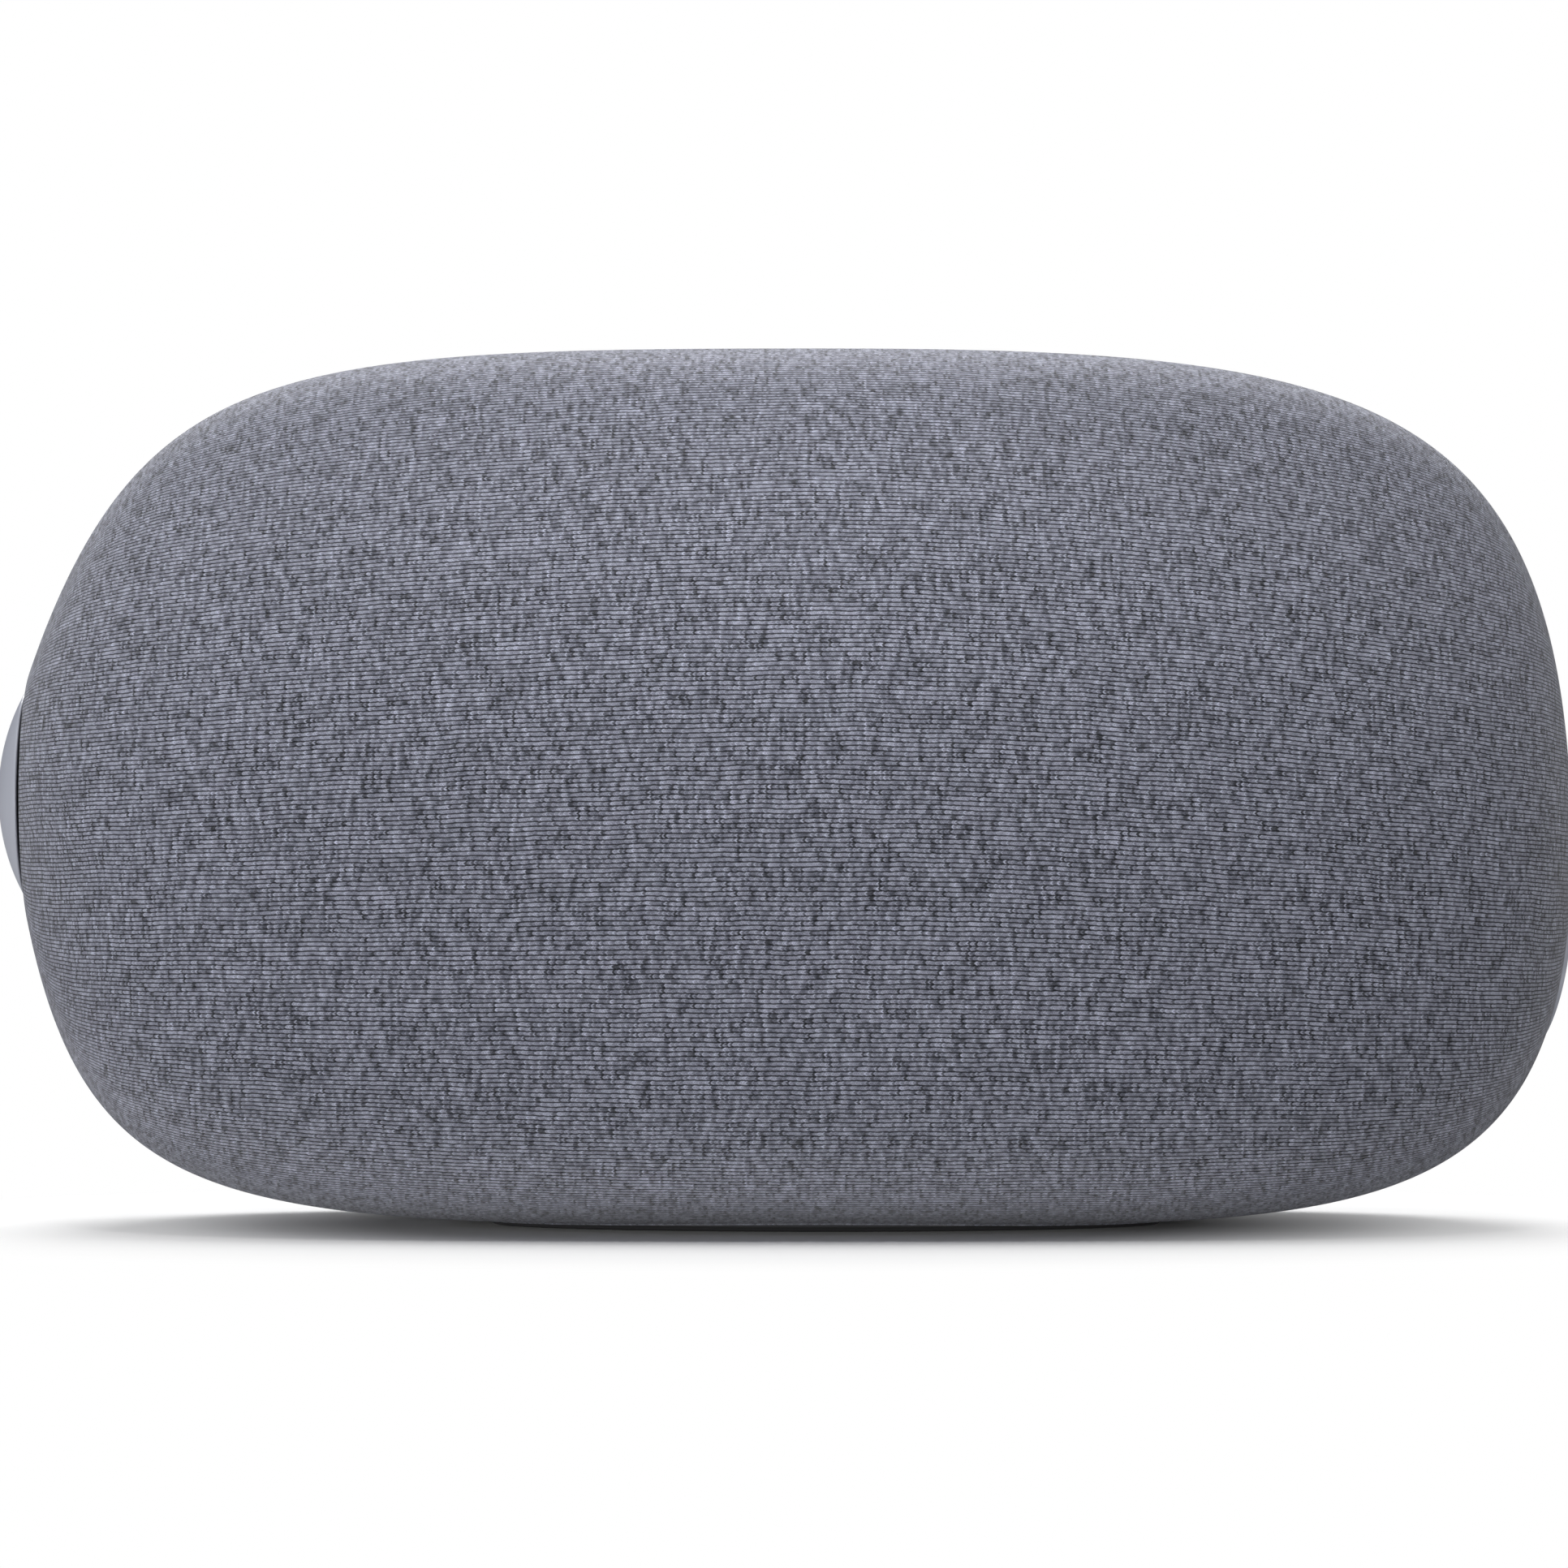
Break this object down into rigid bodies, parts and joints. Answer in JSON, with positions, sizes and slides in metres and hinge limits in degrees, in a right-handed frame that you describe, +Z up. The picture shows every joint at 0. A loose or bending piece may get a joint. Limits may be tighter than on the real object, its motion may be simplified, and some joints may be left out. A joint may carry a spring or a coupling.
{
  "type": "smart speaker",
  "caption": "Wide, soft-cornered tabletop speaker wrapped in heather knit, with a domed push-and-turn dial on one end.",
  "frame": {"origin": "centre of the underside, on the surface the rubber foot stands on", "axes": "+Z up, -Y is the knit front, -X is the end with the dial, +Y is the rear grille side"},
  "size_m": [0.3007, 0.1301, 0.1673],
  "materials": {
    "knit": "heather jersey knit",
    "casing": "moulded, fine texture",
    "dark_plastic": "moulded, satin",
    "light_plastic": "satin moulded",
    "button_plastic": "satin moulded",
    "lens_plastic": "clear diffusing",
    "rubber": "matte",
    "steel": "zinc plated",
    "ferrite": "sintered ferrite",
    "copper": "enamelled winding",
    "paper": "pressed pulp",
    "silk": "coated silk",
    "spider_cloth": "resin-dipped cotton",
    "circuit_board": "solder mask",
    "aluminium": "extruded",
    "cell_wrap": "shrink wrap"
  },
  "bodies": {
    "root": {"knit_sleeve": "knit", "front_shell": "casing", "rear_shell": "casing", "shell_seal": "rubber", "case_screws": "steel", "base_plate": "dark_plastic", "rubber_foot": "rubber", "base_screws": "steel", "driver_baffle": "casing", "baffle_screws": "steel", "radiator_frame": "dark_plastic", "radiator_surround": "rubber", "inner_chassis": "casing", "main_board": "circuit_board", "heat_sink": "aluminium", "battery_cells": "cell_wrap", "battery_cradle": "dark_plastic", "mic_board": "circuit_board", "wifi_antenna": "circuit_board", "dial_seat": "dark_plastic", "encoder_housing": "steel", "encoder_nut": "steel", "dial_board": "circuit_board", "port_panel": "light_plastic", "port_board": "circuit_board", "charging_socket": "steel", "status_lens": "lens_plastic", "woofer_left_basket": "steel", "woofer_left_magnet": "ferrite", "woofer_left_yoke": "steel", "woofer_left_spider": "spider_cloth", "woofer_left_surround": "rubber", "tweeter_left_frame": "dark_plastic", "tweeter_left_magnet": "ferrite", "tweeter_left_surround": "rubber", "woofer_right_basket": "steel", "woofer_right_magnet": "ferrite", "woofer_right_yoke": "steel", "woofer_right_spider": "spider_cloth", "woofer_right_surround": "rubber", "tweeter_right_frame": "dark_plastic", "tweeter_right_magnet": "ferrite", "tweeter_right_surround": "rubber"},
    "dial_rotor": {"encoder_rotor": "dark_plastic"},
    "volume_dial": {"dial_cap": "light_plastic", "encoder_shaft": "steel"},
    "pair_button": {"pair_button": "button_plastic"},
    "mute_slider": {"mute_slider": "button_plastic"},
    "radiator": {"radiator_plate": "paper", "radiator_weight": "steel"},
    "woofer_left": {"woofer_left_cone": "paper", "woofer_left_dust_cap": "dark_plastic", "woofer_left_voice_coil": "copper"},
    "tweeter_left": {"tweeter_left_dome": "silk"},
    "woofer_right": {"woofer_right_cone": "paper", "woofer_right_dust_cap": "dark_plastic", "woofer_right_voice_coil": "copper"},
    "tweeter_right": {"tweeter_right_dome": "silk"}
  },
  "joints": [
    {"name": "dial_turn", "type": "hinge", "parent": "root", "child": "dial_rotor", "pos_m": [-0.133, 0, 0.082], "axis": [1, 0, 0], "continuous": true},
    {"name": "dial_press", "type": "slide", "parent": "dial_rotor", "child": "volume_dial", "axis": [1, 0, 0], "range_m": [0, 0.0004], "stiffness_N_per_m": 6000},
    {"name": "pair_button_press", "type": "slide", "parent": "root", "child": "pair_button", "axis": [-0.9659, -0.2588, 0], "range_m": [0, 0.0003], "stiffness_N_per_m": 4000},
    {"name": "mute_slide", "type": "slide", "parent": "root", "child": "mute_slider", "axis": [-0.2588, 0.9659, 0], "range_m": [0, 0.0025]},
    {"name": "radiator_move", "type": "slide", "parent": "root", "child": "radiator", "axis": [0, 1, 0], "range_m": [-0.004, 0.004], "stiffness_N_per_m": 900, "deforming": ["radiator_surround"]},
    {"name": "woofer_left_move", "type": "slide", "parent": "root", "child": "woofer_left", "axis": [0, -1, 0], "range_m": [-0.003, 0.003], "stiffness_N_per_m": 1200, "deforming": ["woofer_left_surround", "woofer_left_spider"]},
    {"name": "tweeter_left_move", "type": "slide", "parent": "root", "child": "tweeter_left", "axis": [0, -1, 0], "range_m": [-0.0002, 0.0002], "stiffness_N_per_m": 2000, "deforming": ["tweeter_left_surround"]},
    {"name": "woofer_right_move", "type": "slide", "parent": "root", "child": "woofer_right", "axis": [0, -1, 0], "range_m": [-0.003, 0.003], "stiffness_N_per_m": 1200, "deforming": ["woofer_right_surround", "woofer_right_spider"]},
    {"name": "tweeter_right_move", "type": "slide", "parent": "root", "child": "tweeter_right", "axis": [0, -1, 0], "range_m": [-0.0002, 0.0002], "stiffness_N_per_m": 2000, "deforming": ["tweeter_right_surround"]}
  ]
}
